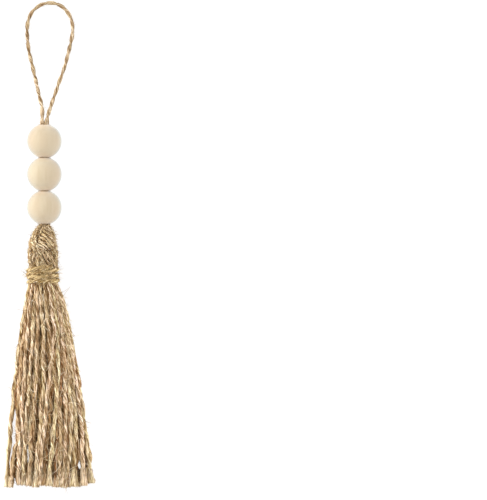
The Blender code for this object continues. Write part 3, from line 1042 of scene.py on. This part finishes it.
def open_gaps(downs, x, radius):
    """Places across, with the strands moved off the gaps where the floor shows."""
    for gap in SKIRT_GAPS:
        centre = (gap.start + gap.end) / 2
        inside = 1 - rise(np.abs(downs - centre) * 2, 0.0, gap.end - gap.start)
        room = (gap.half_width * np.sqrt(inside))[None, :] + radius
        off = x - gap.across
        short = (np.abs(off) < room) & (inside > 0)[None, :]
        x = np.where(short, gap.across + np.where(off >= 0, room, -room), x)
    return x


def ease(rows):
    """Takes the kinks out of rows of places, in place."""
    rows[:, 1:-1] += 0.2 * (rows[:, :-2] + rows[:, 2:] - 2 * rows[:, 1:-1])


def settle_strands(rng):
    """Places of the strands at even stations: the leads are laid, the rest are pushed apart."""
    downs = np.arange(SKIRT_SECTIONS[0].down, SKIRT_END + 0.5 * SKIRT_STATION, SKIRT_STATION)
    left, right, low, high, strand = section_at(SKIRT_SECTIONS, downs)
    free = rise(downs, SPREAD_START, SPREAD_RUN)
    leads = len(LEAD_STRANDS)
    rest = SKIRT_STRANDS - leads
    middle = (left + right) / 2
    half = (right - left) / 2 - strand
    base = (1 - free) * (low + high) / 2 + free * strand

    def dome(across):
        """The height of the skirt's upper side at places across."""
        share = np.clip((across - middle) / half, -1.0, 1.0)
        return base + (high - strand - base) * np.sqrt(1.0 - share**2)

    lead_x = smoothed([np.interp(downs, LEAD_DOWNS, lead.across) for lead in LEAD_STRANDS])
    lead_z = dome(lead_x) - 0.8 * column(LEAD_STRANDS, "red")[:, None]

    order = np.arange(rest)[:, None]
    reach = np.sqrt((order + 0.5) / rest)
    golden = order * math.pi * (3 - math.sqrt(5))
    radius = strand[None, :] * rng.uniform(0.9, 1.1, (SKIRT_STRANDS, 1))
    radius[:leads] = strand * 1.04
    wander = np.zeros((rest, len(downs)))
    for size, shortest, longest in ((1.0, 60, 90), (0.5, 28, 45)):
        wander += size * wave(rng, downs, shortest, longest, (rest, 1))
    drift = rng.normal(0.0, 1.3, (rest, 1))
    aim_x = middle + 0.97 * half * (reach * np.cos(golden)) + (wander + drift) * free
    aim_z = (low + high) / 2 + ((high - low) / 2 - strand) * (reach * np.sin(golden))
    x = np.vstack((lead_x, aim_x))
    z = np.vstack((lead_z, aim_z))
    hold = 0.10 - 0.085 * free
    sunk = rng.uniform(0.5, 2.2, (rest, 1))
    for _ in range(SETTLE_STEPS):
        dx = x[:, None] - x[None]
        dz = z[:, None] - z[None]
        distance = np.sqrt(dx**2 + dz**2) + 1e-6
        need = (radius[:, None] + radius[None]) * STRANDS_PRESSED
        push = SETTLE_PUSH * np.clip(need - distance, 0.0, None) / distance
        x[leads:] += (push * dx).sum(axis=1)[leads:]
        z[leads:] += (push * dz).sum(axis=1)[leads:]
        x[leads:] += hold * (aim_x - x[leads:])
        z[leads:] += hold * (aim_z - z[leads:]) - 0.015 * free
        x = open_gaps(downs, x, radius)
        ease(x[leads:])
        ease(z[leads:])
        x = np.clip(x, left + radius, right - radius)
        z[leads:] = np.minimum(z[leads:], dome(x[leads:]) - sunk * strand * (0.6 + 0.4 * free))
        z = np.maximum(z, radius)
    return downs, x, z, radius


def brush_end(strands, hairs, rng, path, radius, look, brush):
    """The frayed end of a strand, which opens into a flat brush and ends at the hem."""
    length = arc_lengths(path)
    along = unit(path[-1] - path[-4])
    side = unit(np.cross(along, UP))
    upward = np.cross(side, along)
    root = path[int(np.interp(length[-1] - brush.back, length, np.arange(len(path))))]
    run = (HEAD_TOP_Y / MM - brush.end - root[1]) / along[1]
    notch = AXIS_X / MM + HEM_NOTCH.across
    side_of_notch = 1.0 if root[0] > notch else -1.0

    def spread(share, off_side, off_up):
        """Points at shares of the run, where the brush has opened by so much."""
        open_side = 1.0 + (brush.width / radius - 1.0) * share**BRUSH_OPENING
        open_up = 1.0 - BRUSH_FLATTER * share
        points = (
            root
            + (run * share)[..., None] * along
            + (off_side * open_side)[..., None] * side
            + (off_up * open_up)[..., None] * upward
        )
        down = HEAD_TOP_Y / MM - points[..., 1]
        room = HEM_NOTCH.half_width * rise(down, HEM_NOTCH.start, HEM_NOTCH.run)
        clear = np.maximum((points[..., 0] - notch) * side_of_notch, room)
        points[..., 0] = notch + clear * side_of_notch
        points[..., 2] = np.maximum(points[..., 2], BRUSH_LOWEST)
        return points

    around = TURN * np.arange(BRUSH_SIDES) / BRUSH_SIDES
    share = np.linspace(0.0, 0.99, BRUSH_STATIONS)[:, None] * rng.uniform(0.93, 1.0, BRUSH_SIDES)
    ripple = 1.0 + 0.13 * np.sin(6 * around + rng.uniform(0, TURN)) + 0.08 * np.sin(
        11 * around + rng.uniform(0, TURN)
    )
    reach = radius * ripple * np.interp(share, *BRUSH_FULL)
    off_side, off_up = reach * np.cos(around), reach * np.sin(around)
    rings = spread(share, off_side, off_up)
    fibres = shifted_pattern(rng, 1.5 * off_side, 1.5 * off_up, brush.back * share)
    tone = look.tone + brush.paler
    marks = np.array((np.clip(tone, 0, 1), look.hue, look.red))
    strands.add_tubes(rings[None], fibres[None], marks)

    count = BRUSH_HAIRS
    angle = rng.uniform(0, TURN, (count, 1))
    reach = radius * rng.uniform(0.7, 1.0, (count, 1))
    start = rng.uniform(0.15, 0.5, (count, 1))
    end = rng.uniform(0.93, 1.04, (count, 1))
    step = np.linspace(0.0, 1.0, BRUSH_HAIR_STATIONS)[None, :]
    share = start + (end - start) * step
    stray = rng.normal(0.0, 0.16, (2, count, 1)) * step**2
    paths = spread(share, reach * np.cos(angle) + stray[0], reach * np.sin(angle) + stray[1])
    tones = np.clip(tone + rng.normal(0.12, 0.2, count), 0, 1)
    lay_hairs(hairs, rng, paths, rng.uniform(*FLYAWAY.radii, count), tones)


def rest_strand(rng, across, depth, hem):
    """The look and brush of a strand that isn't a lead, where it ends across and how deep.

    A deeper strand is painted darker and redder, a painted shade, which is eased on its brush.
    """
    in_middle = np.clip(1.6 - abs(across - RED_ACROSS) / RED_REACH, 0, 1)
    buried = rise(depth, HAIRY_DEPTHS[0], BURIED_RUN)
    red = max(0.0, rng.uniform(-0.8, 1.0)) * in_middle
    # A buried strand is painted redder and darker, a painted shade
    red = max(red, 0.5 * buried)
    tone = rng.uniform(*REST_TONES) - BURIED_PAINTED_SHADE * buried
    look = Look(max(0.0, tone * (1.0 - 0.4 * red)), rng.uniform(0, 1), red)
    width = rng.uniform(*REST_BRUSHES)
    end = hem - rng.uniform(*REST_SHORTER)
    return look, Brush(end, width, BRUSH_RUN * width, REST_PALER + BURIED_BRUSH_SHADE_EASED * buried)


def lead_strand(rng, lead, hem):
    """The look and brush of a lead."""
    end = hem + rng.normal(0.0, LEAD_HEM_SPREAD)
    look = Look(lead.tone, lead.hue, lead.red)
    return look, Brush(end, lead.brush, BRUSH_RUN * lead.brush, LEAD_PALER)


def build_skirt(material):
    """Twisted strands with loose fibres, which end in frayed brushes at the hem."""
    rng = np.random.default_rng(12)
    downs, x, z, radius = settle_strands(rng)
    halves = (Pile(), Pile())
    fuzz = (Pile(), Pile())
    ends = Pile()
    slivers = Pile()
    leads = len(LEAD_STRANDS)
    eased = rise(downs, 30, 12) * rise(downs, 116, -10)
    depth = (z.max(axis=0) - z).mean(axis=1)
    hair_counts = np.interp(depth, HAIRY_DEPTHS, HAIRS_BY_DEPTH).astype(int)
    for i in range(SKIRT_STRANDS):
        hem = np.interp(x[i, -1], *HEM)
        if i < leads:
            look, brush = lead_strand(rng, LEAD_STRANDS[i], hem)
        else:
            look, brush = rest_strand(rng, x[i, -1], depth[i], hem)
        kink = SKIRT_KINK * wave(rng, downs, 12, 26) * eased
        route = place(x[i] + kink, downs, z[i])
        path = smooth_path(route[downs < brush.end - max(2.0, 0.4 * brush.back)], SKIRT_STEP)
        before_end = arc_lengths(path) - arc_lengths(path)[-1]
        reach = np.interp(HEAD_TOP_Y / MM - path[:, 1], downs, radius[i])
        reach = reach * (1.0 - NECK * rise(before_end, -NECK_START, NECK_RUN))
        reach = reach * (1.0 - TIP * rise(before_end, -TIP_RUN, TIP_RUN) ** 1.5)
        yarn = Yarn(rng.uniform(*SKIRT_TWISTS), rng.uniform(*SKIRT_FULLS), 0.7, 10, SKIRT_SEAM_PAINTED_SHADE)
        strands, hairs = halves[i % 2], fuzz[i % 2]
        lay_plies(strands, rng, path, reach, yarn, look)
        fuzz_on(hairs, rng, path[8:], reach[8:], Amount(hair_counts[i], HAIR_LONGEST))
        if i < leads:
            at_side = i < 2 or i > leads - 4
            count = FLYAWAYS_AT_SIDE if at_side else FLYAWAYS
            flyaway_hairs(hairs, rng, path[8:], reach[8:], count)
        if 1 < i < leads - 2:
            loose_slivers(slivers, rng, path[4:], reach[4:], SLIVERS)
        whole = smooth_path(route[downs < brush.end], SKIRT_STEP)
        brush_end(strands, ends, rng, whole, radius[i, -1], look, brush)
    for label, strands, hairs in zip(("odd", "even"), halves, fuzz):
        strands.build(f"skirt_strands_{label}", material, "jute")
        hairs.build(f"skirt_hairs_{label}", material, "jute")
    ends.build("skirt_frayed_ends", material, "jute")
    slivers.build("skirt_slivers", material, "jute")


def build_floor():
    """A pale floor that also glows, as a light table does."""
    made, _, _ = new_material("pale_floor", FLOOR_FINISH)
    mesh = bpy.data.meshes.new("floor")
    corners = [(FLOOR_REACH * a, FLOOR_REACH * b, 0.0) for a, b in ((-1, -1), (1, -1), (1, 1), (-1, 1))]
    mesh.from_pydata(corners, [], [(0, 1, 2, 3)])
    mesh.materials.append(made)
    add_object("floor", mesh)


def add_light(lamp):
    data = bpy.data.lights.new(lamp.name, "AREA")
    data.shape = "SQUARE"
    data.size = lamp.size
    data.energy = lamp.power
    data.color = lamp.colour
    made = add_object(lamp.name, data)
    made.location = lamp.at
    made.rotation_euler = (Vector(lamp.aim) - Vector(lamp.at)).to_track_quat("-Z", "Y").to_euler()


def build_lights():
    """A soft sky, brightest level with the floor, and two lamps."""
    world = bpy.data.worlds.new("studio")
    world.use_nodes = True
    tree = world.node_tree
    direction = add_node(tree, "ShaderNodeTexCoord").outputs["Generated"]
    sky = ramp(tree, ((0.0, (1.0,)), (0.35, (0.74,)), (0.9, (0.45,))), split(tree, direction)["Z"])
    background = tree.nodes["Background"]
    tree.links.new(sky, background.inputs["Color"])
    background.inputs["Strength"].default_value = SKY_STRENGTH
    scene = bpy.context.scene
    scene.world = world
    scene.view_settings.view_transform = "Standard"
    for lamp in LAMPS:
        add_light(lamp)


def build_camera():
    """A camera straight above, which frames the tassel as the photograph does."""
    data = bpy.data.cameras.new("camera")
    centre_x = AXIS_X + (IMAGE_WIDTH / 2 - AXIS_PIXEL_X) * PIXEL
    centre_y = BEADS_END_Y - (IMAGE_HEIGHT / 2 - BEADS_END_PIXEL_Y) * PIXEL
    data.lens = data.sensor_width * CAMERA_DISTANCE / (IMAGE_HEIGHT * PIXEL)
    data.clip_end = 20.0
    made = add_object("camera", data)
    made.location = (centre_x, centre_y, FOCUS_HEIGHT + CAMERA_DISTANCE)
    bpy.context.scene.camera = made


def main():
    build_camera()
    jute = jute_material("jute", TASSEL_COLOURS)
    cord = jute_material("cord_jute", CORD_COLOURS)
    binding = jute_material("binding_jute", BINDING_COLOURS)
    wood = wood_material()
    build_loop(cord)
    for order, node in enumerate(BEAD_NODES):
        build_bead(node, wood, order * BEAD_GRAIN_TURN)
    build_head_core(jute)
    build_head(jute)
    build_binding(binding)
    build_skirt(jute)
    build_floor()
    build_lights()


main()
